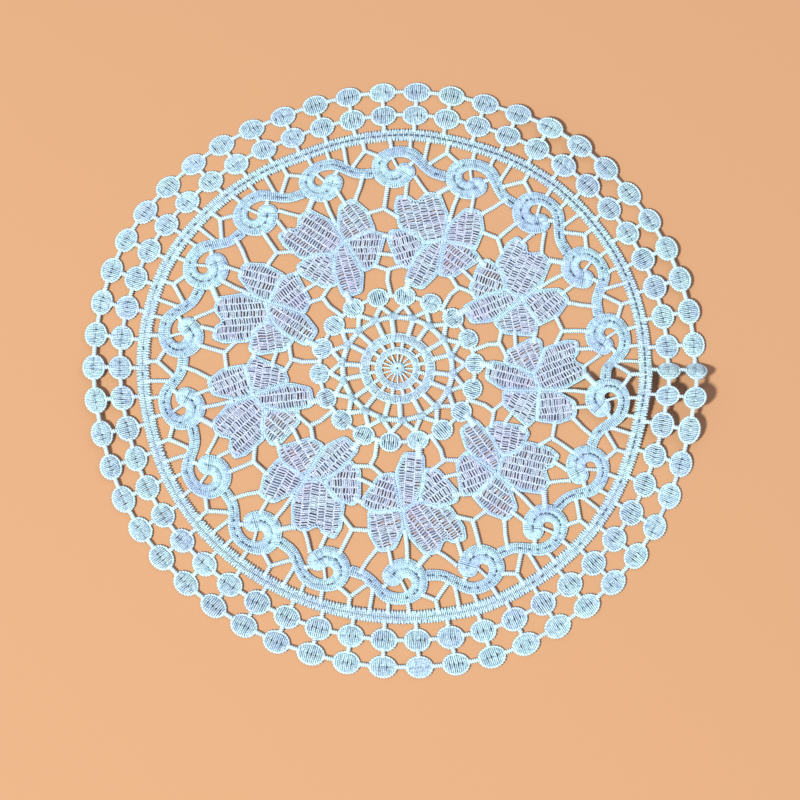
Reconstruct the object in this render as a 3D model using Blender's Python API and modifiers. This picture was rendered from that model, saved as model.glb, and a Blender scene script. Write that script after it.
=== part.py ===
"""Round lace table mat, stitched in one piece, lying flat with one soft fold raised at its rim.

The plan is drawn in millimetres in the even pattern: nine leaf sprigs of 40 degrees and
eighteen scrolls of 20 degrees inside a ring and two rows of beads. All shapes are joined into
one outline with its gaps, pulled out of true as the mat lies, lifted where the cloth stands
off the table, and given its thickness. Origin: on the table under the middle of the mat.
"""
import bisect
import math

import bpy
from mathutils import Vector
from mathutils.geometry import delaunay_2d_cdt

MM = 0.001
THICK = 1.5                 # the stitched lace, top to underside
EDGE_RADIUS = 150.0         # where the unevenness of the plan has faded out
BITE = 1.0                  # how far a link or bar runs into what it joins

# rows of beads: radius of their centres, half sizes across and along the radius
BEADS = 54
BEAD_SIDES = 16
OUTER_ROW = (145.0, 6.6, 5.35)
INNER_ROW = (132.4, 6.3, 5.6)
LINK_HALF = 1.1             # half the width of the short links between beads
RING_IN, RING_OUT = 118.8, 124.4
RING_SIDES = 108

SPRIGS = 9
SPRIG_TURN = 40.0
SCROLLS = 18
SCROLL_TURN = 20.0
FIRST_SCROLL = 11.5         # angle of the first scroll's eye

# centre: beads, the wheel and the net of bars between them
HEART_BEADS = (37.1, 5.35, 5.0)
HEART_FIRST = 4.5
HEART_LINK = (6.0, 14.0)                # angles past a bead between which its link runs
WHEEL_RADIUS = 17.4
WHEEL_SIDES = 36
NET_RING = (24.9, 27.1)
NET_SIDES = 72
NET_KNOT, NET_PEAK = 26.6, 32.4
SPOKE_TURNS = (-7.0, 16.0)
SPOKE_HALF, ARM_HALF = 1.2, 1.85

# a scroll in its own frame: x clockwise, y outward from the mat's centre, half width
COIL = ((2.5, 112.7, 2.9), (-2.5, 111.3, 3.2), (-6.0, 108.2, 3.6), (-6.7, 104.3, 3.7),
        (-5.2, 100.5, 4.1), (-1.5, 98.2, 4.5), (3.0, 98.8, 4.9), (5.8, 101.8, 5.0))
TAIL = ((2.5, 112.7, 2.9), (7.8, 111.9, 3.0), (11.3, 109.5, 2.9), (14.1, 106.3, 2.7),
        (16.6, 103.4, 2.6), (19.7, 101.0, 2.6), (23.4, 99.5, 2.7), (26.5, 98.6, 2.7))
# bars from the ring to the scrolls, same frame: half width, then the points
SCROLL_BARS = ((1.1, (-1.3, 120.5), (-0.6, 114.5)),
               (1.0, (8.8, 120.0), (8.4, 114.0)),
               (1.05, (17.7, 119.5), (15.2, 108.0)),
               (1.1, (-14.7, 119.8), (-13.6, 113.7), (-6.8, 110.6)),
               (1.1, (-13.6, 113.7), (-19.8, 105.0)),
               (0.8, (-0.3, 109.6), (2.4, 103.6)),
               (1.2, (8.2, 105.5), (10.6, 107.2)))

# the five leaves of a sprig in its own frame: corners x, y and the radius that rounds them
LEAVES = (
    ((-5.2, 43.6, 3.5), (4.8, 41.4, 3.5), (10.8, 50.6, 8.0), (11.2, 69.8, 1.5), (5.0, 68.8, 3.0),
     (-2.6, 59.0, 9.0)),
    ((10.2, 50.2, 2.6), (18.4, 50.4, 2.6), (30.3, 62.8, 2.0), (23.4, 69.8, 5.0), (10.2, 69.8, 1.0)),
    ((-16.8, 70.1, 3.0), (-5.0, 71.8, 4.0), (2.4, 66.6, 2.0), (-3.2, 50.4, 1.8), (-10.4, 52.6, 2.6),
     (-17.0, 64.3, 2.6)),
    ((-16.6, 88.6, 2.4), (-9.6, 89.1, 2.0), (-6.6, 86.6, 1.6), (-2.6, 92.8, 2.4), (4.4, 93.0, 2.6),
     (10.6, 82.5, 6.0), (10.8, 69.4, 1.5), (3.0, 65.4, 1.6), (-12.4, 71.2, 2.0), (-16.8, 82.0, 4.0)),
    ((10.0, 68.4, 1.4), (10.2, 77.5, 7.0), (17.2, 88.2, 4.5), (25.3, 88.0, 3.6), (28.6, 78.0, 5.0),
     (26.6, 66.5, 2.0)))
SPRIG_BARS = (
    (1.1, (12.9, 94.5), (11.6, 87.0), (11.0, 79.0)),
    (1.0, (20.2, 95.5), (20.3, 85.5)),
    (1.1, (25.5, 86.0), (30.8, 90.6), (36.0, 96.3)),
    (1.0, (-1.8, 91.5), (-5.3, 94.8), (-9.6, 99.6)),
    (1.1, (-12.6, 95.0), (-11.8, 87.2)),
    (1.15, (-21.6, 93.5), (-21.3, 86.0), (-20.9, 80.0)),
    (1.1, (-29.0, 76.0), (-21.1, 80.0), (-13.5, 76.8)),
    (1.3, (-19.0, 66.3), (-14.0, 66.3)),
    (1.1, (-19.8, 56.4), (-11.2, 57.0)),
    (1.1, (-20.4, 50.0), (-13.9, 48.7), (-9.6, 51.1), (-5.8, 53.0)),
    (1.15, (-13.1, 49.0), (-12.7, 43.5), (-9.5, 35.6)),
    (1.8, (-2.9, 39.5), (-2.0, 46.0)),
    (1.5, (2.8, 92.4), (8.8, 97.6)))
ROUND_FROM = 1.5                        # half width from which a bar gets round ends
ROUND_SIDES = 12
CORNER_STEPS = (0.0, 0.33, 0.67, 1.0)   # where a leaf's rounded corner gets its points

# gaps: the least area that is cut through, and how closely their outlines are kept
GAP_LEAST = 27.0
KEEP_WITHIN = 0.5
SPIKE_ANGLE = 32.0
JOIN_WITHIN = 0.0005

# how the cloth lies: the middle drawn aside, the rim in and out, and the fold to the right
MIDDLE_SHIFT = (-1.5, 1.7)
DRAW_IN = (-9.0, -5.3, 31.0)            # angle, amount, spread
BULGES = ((57.0, 1.4, 15.0), (84.0, 1.0, 11.0), (113.0, -1.5, 11.0), (153.0, 2.0, 17.0),
          (194.0, -0.9, 11.0), (288.0, 1.2, 10.0))
FOLD_HEIGHT = 10.0
FOLD_FROM, FOLD_TO = 70.0, 150.0        # radii where it begins and is full
FOLD_CREST = -7.0                       # flat distance from the x axis
FOLD_FAR, FOLD_NEAR = 16.5, 51.0        # flat widths of the steep and the gentle side
FOLD_TAPER = 0.45                       # the share of these widths where the fold begins
PULL_FAR, PULL_NEAR = 1.6, 3.2          # how far the cloth on each side is drawn to the fold
PULL_RISE = 0.4                         # the share of the near side over which that pull grows
PULL_FADE = 75.0
PUSH_FROM, PUSH_FULL = 20.0, 125.0      # radii between which the draw-in grows
BULGE_FROM, BULGE_FULL = 60.0, 140.0
LIFTS = ((57.0, 2.4, 13.0), (187.0, 2.6, 14.0), (22.0, 2.0, 12.0))
LIFT_FROM, LIFT_TO = 118.0, 150.0
CREASE_ROWS = (-50.0, -38.0, -26.0, -16.0, -10.5, -7.0, -3.0, 2.0, 7.5)
CREASE_STEP = 7.0
CREASE_CLEAR = 1.5
CREASE_LOOK = 15.0                      # how far around a point the gap edges are looked at


def turned(point, degrees):
    a = math.radians(degrees)
    return (point[0] * math.cos(a) - point[1] * math.sin(a),
            point[0] * math.sin(a) + point[1] * math.cos(a))


def polar(radius, degrees):
    return turned((radius, 0.0), degrees)


def ellipse(radius, degrees, half_across, half_along, count):
    """One bead: an oval with its long side across the radius."""
    points = []
    for i in range(count):
        a = 2.0 * math.pi * (i + 0.5) / count
        points.append(turned((radius + half_along * math.cos(a), half_across * math.sin(a)), degrees))
    return points


def annulus(inner, outer, count):
    quads = []
    for i in range(count):
        a, b = 360.0 * i / count, 360.0 * ((i + 1) % count) / count
        quads.append([polar(inner, a), polar(outer, a), polar(outer, b), polar(inner, b)])
    return quads


def curve_through(knots, steps):
    """Points of a smooth line through knots of two or three numbers each."""
    line = []
    for i in range(len(knots) - 1):
        p0, p1 = knots[max(i - 1, 0)], knots[i]
        p2, p3 = knots[i + 1], knots[min(i + 2, len(knots) - 1)]
        for s in range(steps):
            t = s / steps
            line.append(tuple(
                b + 0.5 * t * (c - a + t * (2 * a - 5 * b + 4 * c - d + t * (3 * (b - c) + d - a)))
                for a, b, c, d in zip(p0, p1, p2, p3)))
    line.append(tuple(knots[-1]))
    return line


def ribbon(line, degrees):
    """Quads along a line of x, y, half width, with a round end at each side."""
    sides = []
    for i, (x, y, half) in enumerate(line):
        ax, ay = line[max(i - 1, 0)][:2]
        bx, by = line[min(i + 1, len(line) - 1)][:2]
        size = math.hypot(bx - ax, by - ay)
        nx, ny = -(by - ay) / size * half, (bx - ax) / size * half
        sides.append(((x + nx, y + ny), (x - nx, y - ny)))
    faces = [[a[0], a[1], b[1], b[0]] for a, b in zip(sides, sides[1:])]
    for x, y, half in (line[0], line[-1]):
        if half > ROUND_FROM:
            turns = [2.0 * math.pi * i / ROUND_SIDES for i in range(ROUND_SIDES)]
            faces.append([(x + half * math.cos(a), y + half * math.sin(a)) for a in turns])
    return [[turned(p, degrees) for p in face] for face in faces]


def bar(half, points, degrees):
    return ribbon([(x, y, half) for x, y in points], degrees)


def soft_outline(corners, degrees):
    """A leaf: straight sides with every corner rounded by its own radius."""
    points = []
    count = len(corners)
    for i, (x, y, radius) in enumerate(corners):
        back, ahead = corners[i - 1], corners[(i + 1) % count]
        ux, uy = back[0] - x, back[1] - y
        vx, vy = ahead[0] - x, ahead[1] - y
        lu, lv = math.hypot(ux, uy), math.hypot(vx, vy)
        half = 0.5 * math.acos(max(-1.0, min(1.0, (ux * vx + uy * vy) / (lu * lv))))
        reach = min(radius / math.tan(half), 0.48 * lu, 0.48 * lv)
        start = (x + ux / lu * reach, y + uy / lu * reach)
        end = (x + vx / lv * reach, y + vy / lv * reach)
        for t in CORNER_STEPS:
            points.append(tuple((1 - t) ** 2 * a + 2 * t * (1 - t) * b + t * t * c
                                for a, b, c in zip(start, (x, y), end)))
    return [turned(p, degrees) for p in points]


def all_shapes():
    """Every shape of the even pattern as a list of polygons that overlap where they join."""
    shapes = []
    step = 360.0 / BEADS
    outer_r, outer_across, outer_along = OUTER_ROW
    inner_r, inner_across, inner_along = INNER_ROW
    for i in range(BEADS):
        here = i * step
        shapes.append(ellipse(outer_r, here, outer_across, outer_along, BEAD_SIDES))
        shapes.append(ellipse(inner_r, here, inner_across, inner_along, BEAD_SIDES))
        shapes += bar(LINK_HALF, [(RING_OUT - BITE, 0.0), (inner_r - inner_along + BITE, 0.0)], here)
        shapes += bar(LINK_HALF, [(inner_r + inner_along - BITE, 0.0),
                                  (outer_r - outer_along + BITE, 0.0)], here)
        for radius, across in ((outer_r, outer_across), (inner_r, inner_across)):
            reach = math.degrees((across - BITE) / radius)
            shapes += bar(LINK_HALF, [polar(radius, reach), polar(radius, step - reach)], here)
    shapes += annulus(RING_IN, RING_OUT, RING_SIDES)

    for i in range(SCROLLS):
        here = FIRST_SCROLL + i * SCROLL_TURN - 90.0
        shapes += ribbon(curve_through(COIL, 3), here)
        shapes += ribbon(curve_through(TAIL, 2), here)
        for half, *points in SCROLL_BARS:
            shapes += bar(half, points, here)

    for i in range(SPRIGS):
        here = i * SPRIG_TURN - 90.0
        for corners in LEAVES:
            shapes.append(soft_outline(corners, here))
        for half, *points in SPRIG_BARS:
            shapes += bar(half, points, here)

    bead_r, bead_across, bead_along = HEART_BEADS
    for i in range(SCROLLS):
        here = HEART_FIRST + i * SCROLL_TURN
        shapes.append(ellipse(bead_r, here, bead_across, bead_along, BEAD_SIDES))
        shapes += bar(LINK_HALF, [polar(bead_r, turn) for turn in HEART_LINK], here)
        for side in (-0.5, 0.5):
            shapes += bar(ARM_HALF, [polar(NET_PEAK, 0.0), polar(NET_KNOT, side * SCROLL_TURN)], here)
    for i in range(SPRIGS):
        for spoke in SPOKE_TURNS:
            shapes += bar(SPOKE_HALF, [(WHEEL_RADIUS - BITE, 0.0), (NET_RING[0] + BITE, 0.0)],
                          i * SPRIG_TURN + spoke)
    shapes += annulus(NET_RING[0], NET_RING[1], NET_SIDES)
    shapes.append([polar(WHEEL_RADIUS, 360.0 * i / WHEEL_SIDES) for i in range(WHEEL_SIDES)])
    return shapes


def area_of(loop):
    return 0.5 * sum(a[0] * b[1] - b[0] * a[1] for a, b in zip(loop, loop[1:] + loop[:1]))


def joined_loops(shapes):
    """The edges of all shapes together, as closed loops with the cloth on their left."""
    points, faces = [], []
    for shape in shapes:
        if area_of(shape) < 0.0:
            shape = shape[::-1]
        faces.append(list(range(len(points), len(points) + len(shape))))
        points += [Vector(p) for p in shape]
    verts, _, cells, _, _, owners = delaunay_2d_cdt(points, [], faces, 0, JOIN_WITHIN, True)
    edges = set()
    for cell, owner in zip(cells, owners):
        if owner:
            edges.update(zip(cell, cell[1:] + cell[:1]))
    ahead = {}
    for a, b in sorted(edges):
        if (b, a) not in edges:
            ahead.setdefault(a, []).append(b)
    loops = []
    while ahead:
        start = min(ahead)
        here, loop = start, []
        while True:
            loop.append(tuple(verts[here]))
            onward = ahead[here].pop()
            if not ahead[here]:
                del ahead[here]
            here = onward
            if here == start:
                break
        loops.append(loop)
    return loops


def off_line(p, a, b):
    """Distance of a point from the straight piece between two others."""
    dx, dy = b[0] - a[0], b[1] - a[1]
    size = dx * dx + dy * dy
    t = 0.0 if size == 0.0 else max(0.0, min(1.0, ((p[0] - a[0]) * dx + (p[1] - a[1]) * dy) / size))
    return math.hypot(p[0] - a[0] - t * dx, p[1] - a[1] - t * dy)


def thinned(points, within):
    """Leaves out the points of an open line that lie this near to its straight pieces."""
    if len(points) < 3:
        return points
    far, index = max((off_line(p, points[0], points[-1]), i) for i, p in enumerate(points))
    if far <= within:
        return [points[0], points[-1]]
    return thinned(points[:index + 1], within)[:-1] + thinned(points[index:], within)


def thinned_loop(loop, within):
    far = max(range(len(loop)), key=lambda i: math.dist(loop[0], loop[i]))
    other = max(range(len(loop)), key=lambda i: math.dist(loop[far], loop[i]))
    loop = loop[other:] + loop[:other]
    far = max(range(len(loop)), key=lambda i: math.dist(loop[0], loop[i]))
    return thinned(loop[:far + 1], within)[:-1] + thinned(loop[far:] + loop[:1], within)[:-1]


def blunted(loop):
    """Leaves out the tips of spikes too thin to stitch."""
    kept = []
    for i, p in enumerate(loop):
        a, b = loop[i - 1], loop[(i + 1) % len(loop)]
        ux, uy, vx, vy = a[0] - p[0], a[1] - p[1], b[0] - p[0], b[1] - p[1]
        cosine = (ux * vx + uy * vy) / (math.hypot(ux, uy) * math.hypot(vx, vy))
        if cosine < math.cos(math.radians(SPIKE_ANGLE)):
            kept.append(p)
    return kept


def inside(p, loop):
    hit = False
    for a, b in zip(loop, loop[1:] + loop[:1]):
        if (a[1] > p[1]) != (b[1] > p[1]) and p[0] < a[0] + (p[1] - a[1]) / (b[1] - a[1]) * (b[0] - a[0]):
            hit = not hit
    return hit


def ramp(value, low, high):
    t = max(0.0, min(1.0, (value - low) / (high - low)))
    return t * t * (3.0 - 2.0 * t)


def swell(degrees, centre, spread):
    gap = (degrees - centre + 180.0) % 360.0 - 180.0
    return math.exp(-(gap / spread) ** 2)


def as_laid(x, y):
    """Where a point of the even plan lies on the table, and how high the underside is there."""
    radius = math.hypot(x, y)
    degrees = math.degrees(math.atan2(y, x))
    # the fold: flat distance from its crest, on the steep far side or the gentle near side
    strength = max(0.0, min(1.0, (radius - FOLD_FROM) / (FOLD_TO - FOLD_FROM))) if x > 0.0 else 0.0
    reach = FOLD_TAPER + (1.0 - FOLD_TAPER) * strength
    off = y - FOLD_CREST * reach
    far, near = FOLD_FAR * reach, FOLD_NEAR * reach
    side = ramp(off, 0.0, far) if off > 0.0 else ramp(-off, 0.0, near)
    height = FOLD_HEIGHT * strength * (1.0 - side)
    for centre, lift, spread in LIFTS:
        height += lift * swell(degrees, centre, spread) * ramp(radius, LIFT_FROM, LIFT_TO)
    # the pull toward the fold takes up the length that stands in it
    if off > 0.0:
        pull = -PULL_FAR * side * math.exp(-max(0.0, off - far) / PULL_FADE)
    else:
        rise = ramp(-off, 0.0, PULL_RISE * near)
        pull = PULL_NEAR * rise * math.exp(-max(0.0, -off - near) / PULL_FADE)
    pull *= strength * max(0.0, math.cos(math.radians(degrees)))
    # the rim in and out
    angle, amount, spread = DRAW_IN
    push = amount * swell(degrees, angle, spread) * ramp(radius, PUSH_FROM, PUSH_FULL)
    for angle, amount, spread in BULGES:
        push += amount * swell(degrees, angle, spread) * ramp(radius, BULGE_FROM, BULGE_FULL)
    aside = 1.0 - (radius / EDGE_RADIUS) ** 2
    scale = 1.0 + push / max(radius, 1.0)
    return (x * scale + MIDDLE_SHIFT[0] * aside, y * scale + MIDDLE_SHIFT[1] * aside + pull, height)


def crease_points(outline, gaps):
    """Extra points along the fold, so that beads and scrolls bend over it."""
    points = []
    edges = [edge for loop in [outline] + gaps for edge in zip(loop, loop[1:] + loop[:1])]
    for row in CREASE_ROWS:
        x = FOLD_FROM + CREASE_STEP
        while x < EDGE_RADIUS:
            strength = (x - FOLD_FROM) / (FOLD_TO - FOLD_FROM)
            p = (x, row * (FOLD_TAPER + (1.0 - FOLD_TAPER) * strength))
            if inside(p, outline) and not any(inside(p, gap) for gap in gaps):
                clear = min(off_line(p, a, b) for a, b in edges if math.dist(a, p) < CREASE_LOOK)
                if clear > CREASE_CLEAR:
                    points.append(p)
            x += CREASE_STEP
    return points


def lace_sheet():
    """The underside of the mat as one open sheet with its gaps, its box centred on the origin."""
    loops = joined_loops(all_shapes())
    outline = thinned_loop(max(loops, key=area_of), KEEP_WITHIN)
    gaps = [blunted(thinned_loop(loop, KEEP_WITHIN)) for loop in loops if -area_of(loop) > GAP_LEAST]
    points, faces = [], []
    for loop in [outline] + [gap[::-1] for gap in gaps]:
        faces.append(list(range(len(points), len(points) + len(loop))))
        points += [Vector(p) for p in loop]
    points += [Vector(p) for p in crease_points(outline, gaps)]
    verts, _, cells, _, _, owners = delaunay_2d_cdt(points, [], faces, 0, JOIN_WITHIN, True)
    cells = [cell for cell, owner in zip(cells, owners) if list(owner) == [0]]
    used = sorted({i for cell in cells for i in cell})
    spots = [as_laid(*verts[i]) for i in used]
    middle = [0.5 * (min(values) + max(values)) for values in list(zip(*spots))[:2]]
    mesh = bpy.data.meshes.new("mat")
    mesh.from_pydata([((x - middle[0]) * MM, (y - middle[1]) * MM, z * MM) for x, y, z in spots], [],
                     [[bisect.bisect_left(used, i) for i in cell] for cell in cells])
    return mesh


for old in list(bpy.data.objects):
    bpy.data.objects.remove(old, do_unlink=True)

lace = bpy.data.materials.new("lace_thread")
lace.use_nodes = True
surface = lace.node_tree.nodes["Principled BSDF"]
surface.inputs["Base Color"].default_value = (0.56, 0.76, 0.88, 1.0)
surface.inputs["Roughness"].default_value = 0.7
surface.inputs["Metallic"].default_value = 0.0

collection = bpy.data.collections.new("lace_mat")
bpy.context.scene.collection.children.link(collection)
mat = bpy.data.objects.new("mat", lace_sheet())
mat.data.materials.append(lace)
collection.objects.link(mat)
body = mat.modifiers.new("thickness", "SOLIDIFY")
body.thickness = THICK * MM
body.offset = 1.0
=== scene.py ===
import math

import bpy
import numpy as np
from mathutils import Matrix, Vector
from mathutils.geometry import delaunay_2d_cdt


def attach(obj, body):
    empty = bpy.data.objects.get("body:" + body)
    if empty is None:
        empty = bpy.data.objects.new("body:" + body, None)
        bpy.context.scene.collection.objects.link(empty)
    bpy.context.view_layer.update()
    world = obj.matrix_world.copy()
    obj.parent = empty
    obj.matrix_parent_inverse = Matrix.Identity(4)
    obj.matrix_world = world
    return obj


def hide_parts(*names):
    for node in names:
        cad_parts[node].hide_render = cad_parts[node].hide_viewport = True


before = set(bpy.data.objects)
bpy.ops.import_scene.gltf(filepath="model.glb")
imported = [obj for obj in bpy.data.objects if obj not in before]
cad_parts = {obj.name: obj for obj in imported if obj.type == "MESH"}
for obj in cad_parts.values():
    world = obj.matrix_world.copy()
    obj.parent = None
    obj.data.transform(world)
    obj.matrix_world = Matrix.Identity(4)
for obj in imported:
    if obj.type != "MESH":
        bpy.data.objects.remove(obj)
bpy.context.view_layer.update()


# The rim's beads
# Two rows of oval buttons round the mat, each stitched in pale blue cotton over a few laid
# threads: satin stitch in two rows that meet on the button's long middle, then a fine cord
# whipped round its edge. Everything is modelled flat, in millimetres, and laid afterwards.

MM = 0.001
BEADS = 54
OUTER_ROW = (145.0, 6.6, 5.35)          # radius of the centres, half width, half depth
INNER_ROW = (132.4, 6.3, 5.6)
BEAD_LEAN = 2.0                         # how far out of true a bead can be, in degrees
BEAD_VARIES = (0.975, 1.025)            # least and greatest size, as a share
BEAD_CORD = 0.60                        # radius of the whipped cord
BEAD_CORNERS, BEAD_STEPS = 28, 72       # of the ground under a bead, and of its cord
BEAD_GROUND_IN = 0.15                   # how far inside the edge the ground stops
BEAD_ROW_IN, BEAD_STITCH_IN = 1.25, 0.85     # the same for the outermost stitches, and their ends
BEAD_PITCH, PITCH_VARIES = 0.75, (0.93, 1.07)     # from stitch to stitch, and how it varies
BEAD_THREAD, BEAD_TONE = 0.40, (-0.2, 0.5)
BEAD_MEET = (-0.5, 0.05)                # where the stitches start, from the bead's long middle
BEAD_SLITS = (3.6, 0.64, 0.9)           # slits between stitches: reach, width, half length
SLIT_CHANCE, SLIT_ASIDE = 0.5, 0.45     # how likely a slit is, and how far aside it lies
CORD_HIGH = 0.75                        # middle of a cord over the underside
STITCH_LOW, STITCH_HIGH = 0.45, 1.15    # ends and crown of a satin stitch
STITCH_UNEVEN, STITCH_VARIES = 0.03, (0.92, 1.08)     # how its height and its radius vary
PLAIN_TONE = (0.0, 0.6)                 # tones of stitches that are given none
# Cords and bars get the lightest tone, a painted highlight on these raised threads
BRIGHT = 1.0                            # tone of a cord or bar, the lightest
STRAND_TURN = 1.0                       # length in which the strands of a thread come round once
CORD_PLY = (0.24, 1.35)                 # how proud a cord's turns stand, and their pitch

EDGE_RADIUS = 150.0
MIDDLE_SHIFT = (-1.5, 1.7)              # the mat's middle lies this much aside
BOX_MIDDLE = (-2.38, 0.37)              # middle of the laid mat before it is centred
DRAW_IN = (-9.0, -5.3, 31.0)            # angle, amount and spread of the rim's draw-in
BULGES = ((57.0, 1.4, 15.0), (84.0, 1.0, 11.0), (113.0, -1.5, 11.0), (153.0, 2.0, 17.0),
          (194.0, -0.9, 11.0), (288.0, 1.2, 10.0))
PUSH_FROM, PUSH_FULL = 20.0, 125.0
BULGE_FROM, BULGE_FULL = 60.0, 140.0
FOLD_HEIGHT, FOLD_CREST = 10.0, -7.0
FOLD_FROM, FOLD_TO, FOLD_TAPER = 70.0, 150.0, 0.45
FOLD_FAR, FOLD_NEAR = 16.5, 51.0        # flat widths of its steep and its gentle side
PULL_FAR, PULL_NEAR, PULL_RISE, PULL_FADE = 1.6, 3.2, 0.4, 75.0
LIFTS = ((57.0, 2.4, 13.0), (187.0, 2.6, 14.0), (22.0, 2.0, 12.0))
LIFT_FROM, LIFT_TO = 118.0, 150.0
RIPPLE, RIPPLE_PITCH = 0.22, 37.0       # the cloth's own slight unevenness
RIPPLE_WAVES = (5.1, 4.3)               # how tight it is along x and along y

chance = np.random.default_rng(54)
ground_shapes = []                      # what the ground under the stitches joins
ground_slots = []                       # what is left open in it


def ramp(value, low, high):
    t = np.clip((value - low) / (high - low), 0.0, 1.0)
    return t * t * (3.0 - 2.0 * t)


def swell(degrees, centre, spread):
    gap = (degrees - centre + 180.0) % 360.0 - 180.0
    return np.exp(-(gap / spread) ** 2)


def as_laid(x, y):
    """Where points of the even plan lie on the table, and how high the underside is there."""
    radius = np.hypot(x, y)
    degrees = np.degrees(np.arctan2(y, x))
    strength = np.clip((radius - FOLD_FROM) / (FOLD_TO - FOLD_FROM), 0.0, 1.0) * (x > 0.0)
    reach = FOLD_TAPER + (1.0 - FOLD_TAPER) * strength
    off = y - FOLD_CREST * reach
    far, near = FOLD_FAR * reach, FOLD_NEAR * reach
    side = np.where(off > 0.0, ramp(off, 0.0, far), ramp(-off, 0.0, near))
    height = FOLD_HEIGHT * strength * (1.0 - side)
    for centre, lift, spread in LIFTS:
        height = height + lift * swell(degrees, centre, spread) * ramp(radius, LIFT_FROM, LIFT_TO)
    u, v = x / RIPPLE_PITCH, y / RIPPLE_PITCH
    wave = np.sin(u * RIPPLE_WAVES[0] + 1.0) * np.sin(v * RIPPLE_WAVES[1] + u)
    height = height + RIPPLE * (1.0 + wave)
    behind = -PULL_FAR * side * np.exp(-np.maximum(0.0, off - far) / PULL_FADE)
    before = PULL_NEAR * ramp(-off, 0.0, PULL_RISE * near)
    before = before * np.exp(-np.maximum(0.0, -off - near) / PULL_FADE)
    pull = np.where(off > 0.0, behind, before)
    pull = pull * strength * np.maximum(0.0, np.cos(np.radians(degrees)))
    angle, amount, spread = DRAW_IN
    push = amount * swell(degrees, angle, spread) * ramp(radius, PUSH_FROM, PUSH_FULL)
    for angle, amount, spread in BULGES:
        push = push + amount * swell(degrees, angle, spread) * ramp(radius, BULGE_FROM, BULGE_FULL)
    aside = 1.0 - (radius / EDGE_RADIUS) ** 2
    scale = 1.0 + push / np.maximum(radius, 1.0)
    return np.stack([x * scale + MIDDLE_SHIFT[0] * aside - BOX_MIDDLE[0],
                     y * scale + MIDDLE_SHIFT[1] * aside - BOX_MIDDLE[1] + pull, height], axis=-1)


def laid(flat):
    """Flat points x, y and height over the underside, in millimetres, as they lie, in metres."""
    x, y, height = np.asarray(flat, float).T
    step = 0.4
    here = as_laid(x, y)
    up = np.cross(as_laid(x + step, y) - here, as_laid(x, y + step) - here)
    up /= np.linalg.norm(up, axis=1)[:, None]
    return (here + up * height[:, None]) * MM


def polar(radius, degrees):
    a = np.radians(degrees)
    return np.stack([radius * np.cos(a), radius * np.sin(a)], axis=-1)


def turned(points, degrees):
    a = math.radians(degrees)
    points = np.asarray(points, float)
    return points @ np.array([[math.cos(a), math.sin(a)], [-math.sin(a), math.cos(a)]])


def in_scene(name, data):
    made = bpy.data.objects.new(name, data)
    bpy.context.scene.collection.objects.link(made)
    return made


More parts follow.
